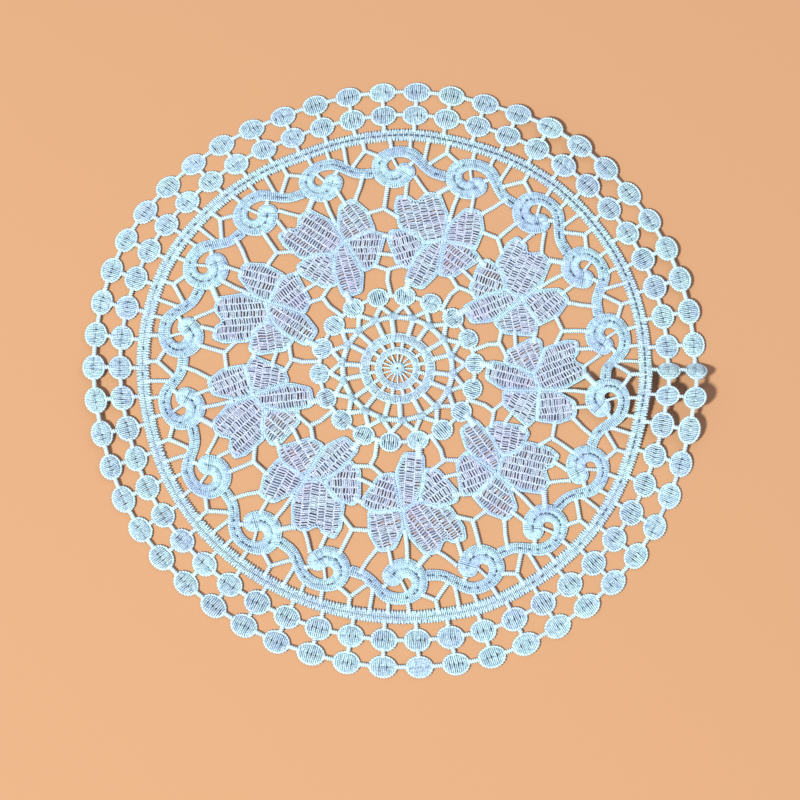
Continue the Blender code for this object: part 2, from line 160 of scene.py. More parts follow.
class Stitching:
    """The threads of one piece, collected flat and made one mesh at the end."""

    def __init__(self):
        self.spots, self.faces, self.wraps, self.tones = [], [], [], []
        self.count = 0

    def threads(self, paths, radius, sides=4, closed=False, ply=None, tone=None, flat=1.0):
        """Tubes along flat paths of one length: an array of threads, points and x, y, height.

        ply is (depth, pitch): how far the turns stand out and how soon the next one comes.
        tone is how light they are, one number or one for each thread, or left to chance.
        flat is their height as a share of their width, one number or one for each point.
        """
        paths = np.asarray(paths, float)
        threads, points = paths.shape[:2]
        if closed:
            ahead = np.roll(paths, -1, axis=1) - np.roll(paths, 1, axis=1)
        else:
            ahead = np.gradient(paths, axis=1)
        ahead /= np.linalg.norm(ahead, axis=2)[..., None]
        left = np.stack([-ahead[..., 1], ahead[..., 0], np.zeros(ahead.shape[:2])], axis=-1)
        left /= np.linalg.norm(left, axis=2)[..., None]
        above = np.cross(ahead, left)
        round_trip = np.concatenate([paths, paths[:, :1]], axis=1)
        gaps = np.linalg.norm(np.diff(round_trip, axis=1), axis=2)
        along = np.concatenate([np.zeros((threads, 1)), np.cumsum(gaps, axis=1)], axis=1)
        depth, pitch = ply or (0.0, STRAND_TURN)
        if closed:
            pitch = along[:, -1:] / np.round(along[:, -1:] / pitch)
        wound = along / pitch
        radius = np.broadcast_to(np.asarray(radius, float), (threads, points))
        turn = 2.0 * np.pi * np.arange(sides) / sides + 0.5 * np.pi
        crown = np.abs(np.cos(0.5 * turn - np.pi * wound[:, :-1, None]))
        size = (radius[..., None] * (1.0 + depth * (2.0 * crown - 1.0)))[..., None]
        across = np.cos(turn)[:, None] * left[:, :, None, :]
        upward = flat * np.sin(turn)[:, None] * above[:, :, None, :]
        ring = paths[:, :, None, :] + size * (across + upward)
        faces, around, steps = [], [], []
        for i in range(points if closed else points - 1):
            for j in range(sides):
                k, after = (j + 1) % sides, (i + 1) % points
                faces.append((i * sides + j, i * sides + k, after * sides + k, after * sides + j))
                around.append((j, j + 1, j + 1, j))
                steps.append((i, i, i + 1, i + 1))
        if not closed:
            last = (points - 1) * sides
            for k in range(1, sides - 2, 2):
                faces.append((k + 2, k + 1, k, 0))
                faces.append((last, last + k, last + k + 1, last + k + 2))
                around += [(0, 0, 0, 0)] * 2
                steps += [(0, 0, 0, 0), (points - 1,) * 4]
        each = points * sides
        firsts = self.count + each * np.arange(threads)
        self.faces.append((np.array(faces)[None] + firsts[:, None, None]).reshape(-1, 4))
        if not ply:
            wound = wound + chance.uniform(0.0, 1.0, (threads, 1))
        # the wrap map's second coordinate runs round each thread from its top; the material paints the top
        # lighter and the underside darker from it
        wraps = np.stack([wound[:, np.array(steps)],
                          np.broadcast_to(np.array(around) / sides, (threads, len(steps), 4))], axis=-1)
        self.wraps.append(wraps.reshape(-1, 2))
        if tone is None:
            tone = chance.uniform(*PLAIN_TONE, threads)
        self.tones.append(np.repeat(np.broadcast_to(tone, threads), each))
        self.spots.append(ring.reshape(-1, 3))
        self.count += each * threads

    def piece(self, name, material):
        spots = laid(np.concatenate(self.spots))
        faces = np.concatenate(self.faces)
        mesh = bpy.data.meshes.new(name)
        mesh.vertices.add(len(spots))
        mesh.vertices.foreach_set("co", spots.ravel())
        mesh.loops.add(faces.size)
        mesh.loops.foreach_set("vertex_index", faces.ravel().astype(np.int32))
        mesh.polygons.add(len(faces))
        mesh.polygons.foreach_set("loop_start", np.arange(0, faces.size, 4, dtype=np.int32))
        mesh.update(calc_edges=True)
        wrap = mesh.uv_layers.new(name="wrap")
        wrap.data.foreach_set("uv", np.concatenate(self.wraps).ravel())
        tone = mesh.attributes.new("tone", "FLOAT", "POINT")
        tone.data.foreach_set("value", np.concatenate(self.tones))
        mesh.shade_smooth()
        mesh.materials.append(material)
        made = in_scene(name, mesh)
        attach(made, "root")


class Shade:
    """An output socket in a material; sums written with it add their Math nodes."""

    def __init__(self, tree, socket=None):
        self.tree, self.socket = tree, socket

    def node(self, kind, settings=None, inputs=None, output=0):
        """A node of any type: its settings first, then the values or links of its sockets."""
        made = self.tree.nodes.new(kind)
        for name, value in (settings or {}).items():
            setattr(made, name, value)
        for name, value in (inputs or {}).items():
            if isinstance(value, Shade):
                self.tree.links.new(value.socket, made.inputs[name])
            else:
                made.inputs[name].default_value = value
        return Shade(self.tree, made.outputs[output])

    def maths(self, operation, *values):
        return self.node("ShaderNodeMath", {"operation": operation}, dict(enumerate(values)))

    def __add__(self, other):
        return self.maths("ADD", self, other)

    def __sub__(self, other):
        return self.maths("SUBTRACT", self, other)

    def __rsub__(self, other):
        return self.maths("SUBTRACT", other, self)

    def __mul__(self, other):
        return self.maths("MULTIPLY", self, other)

    __radd__ = __add__
    __rmul__ = __mul__

    def sine(self):
        return self.maths("SINE", self)

    def cosine(self):
        return self.maths("COSINE", self)

    def feeds(self, surface, name):
        self.tree.links.new(self.socket, surface.inputs[name])


def fresh_material(name):
    """A material, its surface shader, and a Shade that adds nodes to it."""
    material = bpy.data.materials.new(name)
    material.use_nodes = True
    tree = material.node_tree
    return material, tree.nodes["Principled BSDF"], Shade(tree)


# deep is the colour of the painted shade; cool and soft are the thread's own blotchy tints
def thread_material(name, deep, cool, soft):
    """Twisted cotton, cool or soft in blotches. Its top is painted lighter, and painted shade takes it to
    the deep colour on its flanks, its underside and in the grooves between its turns.
    """
    material, surface, shade = fresh_material(name)
    wrap = shade.node("ShaderNodeUVMap", {"uv_map": "wrap"})
    wound = shade.node("ShaderNodeSeparateXYZ", {}, {0: wrap}) * (2.0 * math.pi)
    around = shade.node("ShaderNodeSeparateXYZ", {}, {0: wrap}, 1) * (2.0 * math.pi)
    tone = shade.node("ShaderNodeAttribute", {"attribute_name": "tone"}, {}, "Fac")
    place = shade.node("ShaderNodeTexCoord", {}, {}, "Object")
    blotch = shade.node("ShaderNodeTexNoise", {}, {"Vector": place, "Scale": 55.0, "Detail": 2.0})
    speck = shade.node("ShaderNodeTexNoise", {}, {"Vector": place, "Scale": 950.0, "Detail": 1.0})
    fibre = shade.node("ShaderNodeTexNoise", {}, {"Vector": place, "Scale": 2600.0, "Detail": 2.0})
    # plies are the strands' turns round the thread: they shape the bump, and paint shade into the grooves
    # between the turns
    plies = (wound - around).sine()
    painted_ply_shade = plies * (tone * tone * 0.42 + 0.08)
    # lit is the thread's own tone and specks plus painted light: each thread's top lighter and its
    # underside darker, by the cosine of around, and the grooves between its turns darker
    lit = around.cosine() * 0.38 + tone * 0.38 + speck * 1.4 + painted_ply_shade - 0.38
    hue = blotch * 3.0 - 1.0
    top = shade.node("ShaderNodeMix", {"data_type": "RGBA"}, {0: hue, 6: (*cool, 1.0), 7: (*soft, 1.0)}, 2)
    # where lit is low the colour goes to deep, the painted shade
    colour = shade.node("ShaderNodeMix", {"data_type": "RGBA"}, {0: lit, 6: (*deep, 1.0), 7: top}, 2)
    bump = shade.node("ShaderNodeBump", {}, {"Strength": 0.5, "Distance": 0.0003,
                                             "Height": plies * 0.5 + fibre * 0.6})
    rough = 0.54 + fibre * 0.16 - plies * 0.04
    colour.feeds(surface, "Base Color")
    rough.feeds(surface, "Roughness")
    bump.feeds(surface, "Normal")
    surface.inputs["Specular IOR Level"].default_value = 0.35
    surface.inputs["Sheen Weight"].default_value = 0.25
    surface.inputs["Sheen Roughness"].default_value = 0.4
    surface.inputs["Sheen Tint"].default_value = (0.86, 0.94, 1.0, 1.0)
    return material


def satin(stitching, starts, ends, radius, low=STITCH_LOW, high=STITCH_HIGH, first=None, points=5,
          taper=0.28, flare=0.0, aside=0.0, tone=None):
    """Parallel stitches, each from a start to an end, bowed up over what they cover.

    low and high are the heights of their ends and crown, and first that of their starts where
    it differs. taper is how much slimmer they are at both ends than at their crown, and flare
    how much wider each one grows towards its end, where stitches fan out. aside pushes their
    starts to one side, and dies out soon along them. tone is the lowest and the highest.
    """
    starts, ends = np.asarray(starts, float), np.asarray(ends, float)
    first = low if first is None else first
    t = np.linspace(0.0, 1.0, points)[None, :, None]
    flat = starts[:, None] * (1.0 - t) + ends[:, None] * t
    flat = flat + np.broadcast_to(aside, starts.shape)[:, None] * (1.0 - t) ** 4
    t = t[0, :, 0]
    edge = first * (1.0 - t) + low * t
    bow = np.sqrt(np.sin(np.pi * (t * 0.94 + 0.03)))
    heights = edge + (high - edge) * bow
    heights = heights + chance.normal(0.0, STITCH_UNEVEN, (len(flat), 1))
    slim = radius * (1.0 - taper * (1.0 - bow)) * (1.0 + flare * t)
    slim = slim * chance.uniform(*STITCH_VARIES, (len(flat), 1))
    if tone:
        tone = chance.uniform(*tone, len(flat))
    stitching.threads(np.concatenate([flat, heights[..., None]], axis=2), slim, tone=tone)


def cord(stitching, line, radius, high=CORD_HIGH, closed=True, tone=BRIGHT):
    """A twisted cord along a flat line, its middle at one height over the underside."""
    path = np.column_stack([line, np.full(len(line), high)])
    stitching.threads([path], radius, closed=closed, ply=CORD_PLY, tone=tone)


def oval(half_across, half_along, count):
    """Points round an oval: x along the radius of the mat, y across it."""
    a = 2.0 * np.pi * (np.arange(count) + 0.5) / count
    return np.stack([half_along * np.cos(a), half_across * np.sin(a)], axis=-1)


def oblong(left, right, low, high):
    """The corners of an upright rectangle."""
    return np.array([(left, low), (right, low), (right, high), (left, high)])


def button(stitching, radius, degrees, half_across, half_along):
    """One bead of the mat, stitched round its own middle and turned into its place."""
    lean = chance.normal(0.0, BEAD_LEAN)
    half_across *= chance.uniform(*BEAD_VARIES)
    half_along *= chance.uniform(*BEAD_VARIES)

    def placed(points):
        points = turned(points, lean)
        return turned(points + np.array([radius, 0.0]), degrees)

    def edge_in(depth, count):
        return placed(oval(half_across - depth, half_along - depth, count))

    ground_shapes.append(edge_in(BEAD_GROUND_IN, BEAD_CORNERS))
    cord(stitching, edge_in(BEAD_CORD, BEAD_STEPS), BEAD_CORD)
    inside = half_across - BEAD_ROW_IN
    reach, wide, long = BEAD_SLITS
    across, since_slit = [-inside], 0
    while across[-1] < inside - 0.5 * BEAD_PITCH:
        step = BEAD_PITCH * chance.uniform(*PITCH_VARIES)
        since_slit += 1
        central = abs(across[-1] + 0.5 * step) < reach
        if since_slit > 1 and central and chance.random() < SLIT_CHANCE:
            middle, aside = across[-1] + 0.5 * (step + wide), chance.normal(0.0, SLIT_ASIDE)
            slit = oblong(aside - long, aside + long, middle - 0.5 * wide, middle + 0.5 * wide)
            ground_slots.append(placed(slit))
            step += wide
            since_slit = 0
        across.append(across[-1] + step)
    across = np.clip(across, -inside, inside)
    count = len(across)
    even = np.linspace(-inside, inside, count)
    edge_at = half_along * np.sqrt(1.0 - (even / half_across) ** 2) - BEAD_STITCH_IN
    push = np.stack([np.zeros(count), across - even], axis=1)
    push = turned(turned(push, lean), degrees)
    for side in (-1.0, 1.0):
        inner = side * chance.uniform(*BEAD_MEET, count)
        starts, ends = np.stack([inner, even], axis=1), np.stack([side * edge_at, even], axis=1)
        satin(stitching, placed(starts), placed(ends), BEAD_THREAD, first=0.9, taper=0.1, flare=0.2,
              aside=push, tone=BEAD_TONE)


# The first colour is the painted shade, the other two the thread's own tints
rim_blue = thread_material("rim_blue", (0.12, 0.25, 0.43), (0.70, 0.98, 0.95), (0.66, 0.84, 0.96))
outer_buttons, inner_buttons = Stitching(), Stitching()
for i in range(BEADS):
    turn = 360.0 * i / BEADS
    button(outer_buttons, OUTER_ROW[0], turn, *OUTER_ROW[1:])
    button(inner_buttons, INNER_ROW[0], turn, *INNER_ROW[1:])
outer_buttons.piece("outer_buttons", rim_blue)
inner_buttons.piece("inner_buttons", rim_blue)


# The rim's links
# Short bars of laid thread whipped round and round, from bead to bead along both rows, from
# the outer row to the inner one, and from there to the ring. They are worked with the beads.

LINK_HALF = 1.1                         # half width
LINK_BITE = 1.0                         # how far it runs in under what it joins
RING_IN, RING_OUT = 118.8, 124.4        # the ring's two edges
BAR_GROUND, BAR_SIDES = 0.55, 6         # width of the ground under a bar, as a share of the bar's
WHIP_DEPTH, WHIP_PITCH = 0.26, 1.05     # how proud the whipping stands, and its pitch
WHIP_STEP = 0.262                       # from point to point along it
WHIP_WIDE, WHIP_TALL = 0.88, 0.78       # half width as a share of the bar's, greatest half height
WHIP_FLARE, WHIP_SINK = 0.34, 0.34      # how much wider and how much lower it is where it joins
WHIP_BOW = 0.10                         # how much higher its middle is


def resampled(line, step, beside=None):
    """Evenly spaced points along a line, as near to that step as its length allows.

    Where the line beside it is the longer one, the steps are counted along that instead.
    """
    line = np.asarray(line, float)
    steps = np.linalg.norm(np.diff(line[:, :2], axis=0), axis=1)
    if beside is not None:
        steps = np.maximum(steps, np.linalg.norm(np.diff(beside, axis=0), axis=1))
    lengths = np.concatenate([[0.0], np.cumsum(steps)])
    count = max(3, int(round(lengths[-1] / step)) + 1)
    at = np.linspace(0.0, lengths[-1], count)
    return np.stack([np.interp(at, lengths, column) for column in line.T], axis=1)


def quads(line, half):
    """The flat shape of a bar, as one quad for each of its pieces."""
    line = np.asarray(line, float)
    shapes = []
    for a, b in zip(line, line[1:]):
        away = (b - a) / np.linalg.norm(b - a)
        side = np.array([-away[1], away[0]]) * half
        shapes.append([a - side, b - side, b + side, a + side])
    return shapes


def whipped(stitching, line, half, joined=True):
    """A bar whipped with thread all along; joined ends are wider and run in under the stitches."""
    ground_shapes.extend(quads(line, BAR_GROUND * half))
    path = resampled(line, WHIP_STEP)
    t = np.linspace(0.0, 1.0, len(path))
    end = (2.0 * t - 1.0) ** 6 * joined
    size = half * WHIP_WIDE * (1.0 + WHIP_FLARE * end)
    tall = min(WHIP_TALL, half * WHIP_WIDE) * (1.0 - WHIP_SINK * end)
    heights = tall * (1.0 + WHIP_DEPTH) + WHIP_BOW * np.sin(np.pi * t) * joined
    stitching.threads([np.column_stack([path, heights])], size[None], BAR_SIDES, tone=BRIGHT,
                      ply=(WHIP_DEPTH, WHIP_PITCH), flat=(tall / size)[:, None, None])


rim_bars = Stitching()
for i in range(BEADS):
    turn = 360.0 * i / BEADS
    outer_r, outer_across, outer_along = OUTER_ROW
    inner_r, inner_across, inner_along = INNER_ROW
    spokes = [(RING_OUT - LINK_BITE, inner_r - inner_along + LINK_BITE),
              (inner_r + inner_along - LINK_BITE, outer_r - outer_along + LINK_BITE)]
    for start, end in spokes:
        whipped(rim_bars, turned([(start, 0.0), (end, 0.0)], turn), LINK_HALF)
    for radius, across in ((outer_r, outer_across), (inner_r, inner_across)):
        reach = math.degrees((across - LINK_BITE) / radius)
        ends = polar(radius, np.array([reach, 360.0 / BEADS - reach]))
        whipped(rim_bars, turned(ends, turn), LINK_HALF)
rim_bars.piece("rim_bars", rim_blue)


# The ring
# A flat band that carries the rim: two rows of satin stitch that meet on its middle, where
# small openings show on one side, with the thread's turns standing out along both edges.

RING_STITCHES = 870                      # in each row
RING_THREAD, RING_TONE = 0.43, (0.2, 0.8)
RING_STITCH_IN = 0.25                    # how far inside the ring's edges they end
RING_APART = (0.22, -0.35)               # where they start from the middle, at an opening and elsewhere
ROW_UNEVEN = 0.12                        # how much that varies
RING_TURN_UNEVEN, TOOTH_TURN_UNEVEN = 0.03, 0.05         # how far aside they lie, in degrees
OPEN_EVERY, OPEN_TOWARDS = 3, 60.0       # which gaps can be open, and the way where most of them are
OPEN_FADE = (-0.6, 0.9)                  # cosines of the angle where they are gone, and where all are
DASH_HALF = (0.30, 0.22)                 # an opening's half depth and half width
TEETH = ((RING_IN, -1.0, 0.40), (RING_OUT, 1.0, 0.12))   # radius, which way, how far they stand out
TOOTH_PITCH, TOOTH_THREAD, TOOTH_LONG = 1.36, 0.49, 1.2
TOOTH_VARIES = (0.6, 1.15)
RING_SIDES = 180                         # of the ground under the ring


def ground_band(inner, outer, sides):
    """A round band of the ground, as one quad for each of its sides."""
    for i in range(sides):
        a, b = 360.0 * i / sides, 360.0 * ((i + 1) % sides) / sides
        ground_shapes.append([polar(inner, a), polar(outer, a), polar(outer, b), polar(inner, b)])


ring = Stitching()
middle = 0.5 * (RING_IN + RING_OUT)
reach = 0.5 * (RING_OUT - RING_IN) - RING_STITCH_IN
order = np.arange(RING_STITCHES)
turns = order * 360.0 / RING_STITCHES
can_open = np.cos(np.radians(turns - OPEN_TOWARDS)) > chance.uniform(*OPEN_FADE, len(turns))
opened = can_open & (order % OPEN_EVERY == 0)
beside = opened | np.roll(opened, 1)
for side in (-1.0, 1.0):
    apart = np.where(beside, *RING_APART) + np.abs(chance.normal(0.0, ROW_UNEVEN, len(turns)))
    starts = polar(middle + side * apart, turns)
    ends = polar(middle + side * reach, turns + chance.normal(0.0, RING_TURN_UNEVEN, len(turns)))
    satin(ring, starts, ends, RING_THREAD, first=0.85, points=4, tone=RING_TONE)
deep, wide = DASH_HALF
for here in turns[opened] + 180.0 / RING_STITCHES:
    ground_slots.append(turned(oblong(middle - deep, middle + deep, -wide, wide), here))
for radius, side, out in TEETH:
    count = int(round(2.0 * math.pi * radius / TOOTH_PITCH))
    turns = np.arange(count) * 360.0 / count + chance.normal(0.0, TOOTH_TURN_UNEVEN, count)
    satin(ring, polar(radius - side * TOOTH_LONG, turns),
          polar(radius + side * out * chance.uniform(*TOOTH_VARIES, count), turns), TOOTH_THREAD,
          low=0.55, high=1.12, first=0.95, points=4, taper=0.0, tone=(0.5, 1.0))
ring.piece("ring", rim_blue)
ground_band(RING_IN, RING_OUT, RING_SIDES)


# The scrolls
# Eighteen bands that curl in like a wave and run on into the next one, in satin stitch of two
# rows from a seam on the band's middle to a fine cord along each edge, and the whipped bars
# that hold them to the ring. In each one's own frame x is clockwise and y is outward.

SCROLLS, SCROLL_TURN, FIRST_SCROLL = 18, 20.0, 11.5
SCROLL_BAND = (                          # x, y, half width, from the tail's end to the head
    (25.3, 99.0, 2.7), (19.7, 101.0, 2.6), (16.6, 103.4, 2.6), (14.1, 106.3, 2.7),
    (11.3, 109.5, 2.9), (7.8, 111.9, 3.0), (2.5, 112.7, 2.9), (-2.5, 111.3, 3.2),
    (-5.9, 108.1, 3.7), (-6.5, 104.3, 3.9), (-5.0, 100.7, 4.3), (-1.4, 98.4, 4.7),
    (3.0, 98.8, 4.9), (5.8, 101.8, 5.0))
SCROLL_TAIL_END = (26.5, 98.6, 2.7)      # where the tail runs in under the next scroll
SCROLL_BARS = (                          # half width, then the points
    (1.1, (-1.3, 120.5), (-0.6, 114.5)),
    (1.0, (8.8, 120.0), (8.4, 114.0)),
    (1.05, (17.7, 119.5), (15.2, 108.0)),
    (1.1, (-14.7, 119.8), (-13.6, 113.7), (-6.8, 110.6)),
    (1.1, (-13.6, 113.7), (-19.8, 105.0)),
    (0.8, (-0.3, 109.6), (2.4, 103.6)),
    (1.2, (8.2, 105.5), (10.6, 107.2)))
SCROLL_PITCH, SCROLL_THREAD, SCROLL_CORD = 1.0, 0.47, 0.48
SCROLL_STITCH = {"low": 0.9, "first": 0.82, "tone": (0.1, 1.0)}
SCROLL_STITCH_IN = 0.5                   # how far inside the edge the stitches end
SCROLL_GROUND = 0.97                     # width of the ground, as a share of the band's
FAN_THREAD, FAN_FROM = 0.9, (0.3, 1.3)   # share of the thread, and where the head's stitches start
SEAM_EVERY, SEAM_SHARE = 2, 0.4          # which gaps along the seam can be open, and how many are
SEAM_APART = (0.26, -0.2)                # where the stitches start from it, at an opening and elsewhere
SEAM_NEAR = 0.75                         # how near that is, in stitches
SEAM_SLOT = (0.22, 0.28)                 # an opening's half length and half width
KNOT_STEPS, HEAD_CORNERS = 6, 24
CORD_STEP, GROUND_STEP = 0.5, 2.0        # from point to point along a cord, and along the ground


def curve_through(knots, steps):
    """Points of a smooth line through its knots."""
    knots = np.asarray(knots, float)
    line = []
    for i in range(len(knots) - 1):
        a, b = knots[max(i - 1, 0)], knots[i]
        c, d = knots[i + 1], knots[min(i + 2, len(knots) - 1)]
        for t in np.arange(steps) / steps:
            line.append(b + 0.5 * t * (c - a + t * (2 * a - 5 * b + 4 * c - d + t * (3 * (b - c) + d - a))))
    line.append(knots[-1])
    return np.array(line)


def sideways(line):
    """The unit vectors to the left of a line, at each of its points."""
    ahead = np.gradient(line[:, :2], axis=0)
    ahead /= np.linalg.norm(ahead, axis=1)[:, None]
    return np.stack([-ahead[:, 1], ahead[:, 0]], axis=1)


def wave_band(stitching, turn):
    """One scroll, its head closed by a fan of stitches."""
    def placed(points):
        return turned(points, turn)

    line = resampled(curve_through(SCROLL_BAND, KNOT_STEPS), SCROLL_PITCH)
    spine, half, left = line[:, :2], line[:, 2:3], sideways(line)
    head, head_half, out = spine[-1], half[-1, 0], left[-1]
    ahead = np.array([out[1], -out[0]])
    fan = np.linspace(0.0, math.pi, int(round(math.pi * head_half / SCROLL_PITCH)) + 1)[1:-1, None]
    spokes = np.cos(fan) * out + np.sin(fan) * ahead
    order = np.arange(len(line))
    opened = (order % SEAM_EVERY == 0) & (chance.random(len(line)) < SEAM_SHARE)
    opened[-1] = False
    slots = np.flatnonzero(opened)
    for side in (-1.0, 1.0):
        edge = spine + left * side * (half - SCROLL_STITCH_IN)
        rows = resampled(np.column_stack([edge, spine, left, order]), SCROLL_PITCH, spine)
        beside = np.abs(rows[:, 6:] - slots - 0.5).min(axis=1, initial=np.inf) < SEAM_NEAR
        seam = np.where(beside, *SEAM_APART) + np.abs(chance.normal(0.0, ROW_UNEVEN, len(rows)))
        starts = rows[:, 2:4] + rows[:, 4:6] * (side * seam)[:, None]
        satin(stitching, placed(starts), placed(rows[:, :2]), SCROLL_THREAD, taper=0.15, **SCROLL_STITCH)
    long, wide = SEAM_SLOT
    for i in slots:
        spot = 0.5 * (spine[i] + spine[i + 1])
        forward, across = np.array([left[i, 1], -left[i, 0]]) * long, left[i] * wide
        ground_slots.append(placed([spot - forward - across, spot + forward - across,
                                    spot + forward + across, spot - forward + across]))
    starts = head + spokes * chance.uniform(*FAN_FROM, (len(spokes), 1))
    satin(stitching, placed(starts), placed(head + spokes * (head_half - SCROLL_STITCH_IN)),
          FAN_THREAD * SCROLL_THREAD, flare=0.2, **SCROLL_STITCH)
    rim = np.concatenate([spine + left * (half - SCROLL_CORD), head + spokes * (head_half - SCROLL_CORD),
                          (spine - left * (half - SCROLL_CORD))[::-1]])
    cord(stitching, placed(resampled(rim, CORD_STEP)), SCROLL_CORD, closed=False)
    whole = resampled(curve_through((SCROLL_TAIL_END,) + SCROLL_BAND, KNOT_STEPS), GROUND_STEP)
    aside = sideways(whole) * whole[:, 2:3] * SCROLL_GROUND
    inner, outer = whole[:, :2] - aside, whole[:, :2] + aside
    for corners in zip(inner, inner[1:], outer[1:], outer):
        ground_shapes.append(placed(corners))
    head_half *= SCROLL_GROUND
    ground_shapes.append(placed(head + oval(head_half, head_half, HEAD_CORNERS)))


scrolls, scroll_bars = Stitching(), Stitching()
for i in range(SCROLLS):
    here = FIRST_SCROLL + i * SCROLL_TURN - 90.0
    wave_band(scrolls, here)
    for half, *points in SCROLL_BARS:
        whipped(scroll_bars, turned(points, here), half)
# scroll_blue is rim_blue's thread made darker and bluer, painted shade and sheen for how light falls on the
# satin; its first colour is painted shade
scroll_blue = thread_material("scroll_blue", (0.08, 0.18, 0.37), (0.62, 0.91, 0.93), (0.56, 0.75, 0.94))
scrolls.piece("scrolls", scroll_blue)
scroll_bars.piece("scroll_bars", rim_blue)


# The leaf sprigs
# Nine sprigs of five leaves. Each leaf has a padded edge in short satin stitch inside a fine
# cord, and is filled with columns of long parallel stitches, open enough to see through.
# Whipped bars hold the sprigs to each other, to the scrolls and to the beads of the middle.

SPRIGS, SPRIG_TURN = 9, 40.0
LEAVES = (                               # stitch direction, column width, corners
    (-14.0, 3.3, ((-5.2, 43.6, 3.5), (4.8, 41.4, 3.5), (10.8, 50.6, 8.0), (11.2, 69.8, 1.5),
                  (5.0, 68.8, 3.0), (-2.6, 59.0, 9.0))),
    (62.0, 3.6, ((10.2, 50.2, 2.6), (18.4, 50.4, 2.6), (30.3, 62.8, 2.0), (23.4, 69.8, 5.0),
                 (10.2, 69.8, 1.0))),
    (118.0, 3.6, ((-16.8, 70.1, 3.0), (-5.0, 71.8, 4.0), (2.4, 66.6, 2.0), (-3.2, 50.4, 1.8),
                  (-10.4, 52.6, 2.6), (-17.0, 64.3, 2.6))),
    (25.0, 3.7, ((-16.6, 88.6, 2.4), (-9.6, 89.1, 2.0), (-6.6, 86.6, 1.6), (-2.6, 92.8, 2.4),
                 (4.4, 93.0, 2.6), (10.6, 82.5, 6.0), (10.8, 69.4, 1.5), (3.0, 65.4, 1.6),
                 (-12.4, 71.2, 2.0), (-16.8, 82.0, 4.0))),
    (4.0, 3.7, ((10.0, 68.4, 1.4), (10.2, 77.5, 7.0), (17.2, 88.2, 4.5), (25.3, 88.0, 3.6),
                (28.6, 78.0, 5.0), (26.6, 66.5, 2.0))))
SPRIG_BARS = (
    (1.1, (12.9, 94.5), (11.6, 87.0), (11.0, 79.0)),
    (1.0, (20.2, 95.5), (20.3, 85.5)),
    (1.1, (25.5, 86.0), (30.8, 90.6), (36.0, 96.3)),
    (1.0, (-1.8, 91.5), (-5.3, 94.8), (-9.6, 99.6)),
    (1.1, (-12.6, 95.0), (-11.8, 87.2)),
    (1.15, (-21.6, 93.5), (-21.3, 86.0), (-20.9, 80.0)),
    (1.1, (-29.0, 76.0), (-21.1, 80.0), (-13.5, 76.8)),
    (1.3, (-19.0, 66.3), (-14.0, 66.3)),
    (1.1, (-19.8, 56.4), (-11.2, 57.0)),
    (1.1, (-20.4, 50.0), (-13.9, 48.7), (-9.6, 51.1), (-5.8, 53.0)),
    (1.15, (-13.1, 49.0), (-12.7, 43.5), (-9.5, 35.6)),
    (1.8, (-2.9, 39.5), (-2.0, 46.0)),
    (1.5, (2.8, 92.4), (8.8, 97.6)))
LEAF_EDGE, EDGE_VARIES = 1.95, 0.12      # width of the padded edge, and how it varies
LEAF_CORD, LEAF_CORD_HIGH = 0.46, CORD_HIGH + 0.05
LEAF_GROUND_STEP = 1.6                   # from point to point round a leaf's ground
EDGE_PITCH, EDGE_THREAD, EDGE_FROM = 0.86, 0.39, 0.55    # the last is where its stitches start
FILL_UNDER = 0.35                        # how far the fill runs in under the padded edge
FILL_FROM, FILL_VARIES = (0.2, 0.9), (0.95, 1.05)        # the first stitch, and how the pitch varies
FILL_UNEVEN, COLUMN_UNEVEN = 0.08, 0.15  # how far aside stitches and columns lie
FILL_LEAST, SLIT_LEAST, SEAM_LEAST = 0.6, 0.8, 1.5       # shortest stitch, slit and seam
SLIT_VARIES, SLIT_IN = (0.7, 1.3), 0.4   # how the width varies, and how far it ends inside the column
FILL_PITCH, FILL_THREAD = 0.84, 0.41
FILL_SLIT, SLIT_SHARE = 0.50, 0.6        # width of a slit, and how many stitches have one beside them
OPEN_SHARE = 0.6                         # how many of the slits go right through the cloth
FILL_SLOPE = (0.06, 0.20)                # slant of a column's stitches, one way and then the other
FILL_LAP = 0.30                          # how far the stitches of two columns run into each other
SEAM_THREAD, SEAM_HIGH = 0.46, 0.95      # radius of the thread along their seam, and its middle
SEAM_SWAY, SEAM_TONE = (0.28, 3.3), 0.45                 # how far it winds aside, and how fast


def soft_outline(corners):
    """A leaf's outline, every corner rounded by its own radius."""
    points = []
    for i, (x, y, radius) in enumerate(corners):
        here = np.array([x, y])
        back = np.array(corners[i - 1][:2]) - here
        ahead = np.array(corners[(i + 1) % len(corners)][:2]) - here
        back_size, ahead_size = np.linalg.norm(back), np.linalg.norm(ahead)
        half = 0.5 * math.acos(np.clip(back @ ahead / (back_size * ahead_size), -1.0, 1.0))
        reach = min(radius / math.tan(half), 0.48 * back_size, 0.48 * ahead_size)
        start, end = here + back / back_size * reach, here + ahead / ahead_size * reach
        for t in np.linspace(0.0, 1.0, 7):
            points.append((1 - t) ** 2 * start + 2 * t * (1 - t) * here + t * t * end)
    return np.array(points)


def evenly_round(outline, step):
    """Evenly spaced points round a closed outline."""
    return resampled(np.concatenate([outline, outline[:1]]), step)[:-1]


def distances(points, outline):
    """How far each point is from a closed outline."""
    a = outline[None]
    b = np.roll(outline, -1, axis=0)[None]
    p = points[:, None]
    t = np.clip(np.sum((p - a) * (b - a), axis=2) / np.sum((b - a) ** 2, axis=2), 0.0, 1.0)
    return np.min(np.linalg.norm(p - a - t[..., None] * (b - a), axis=2), axis=1)


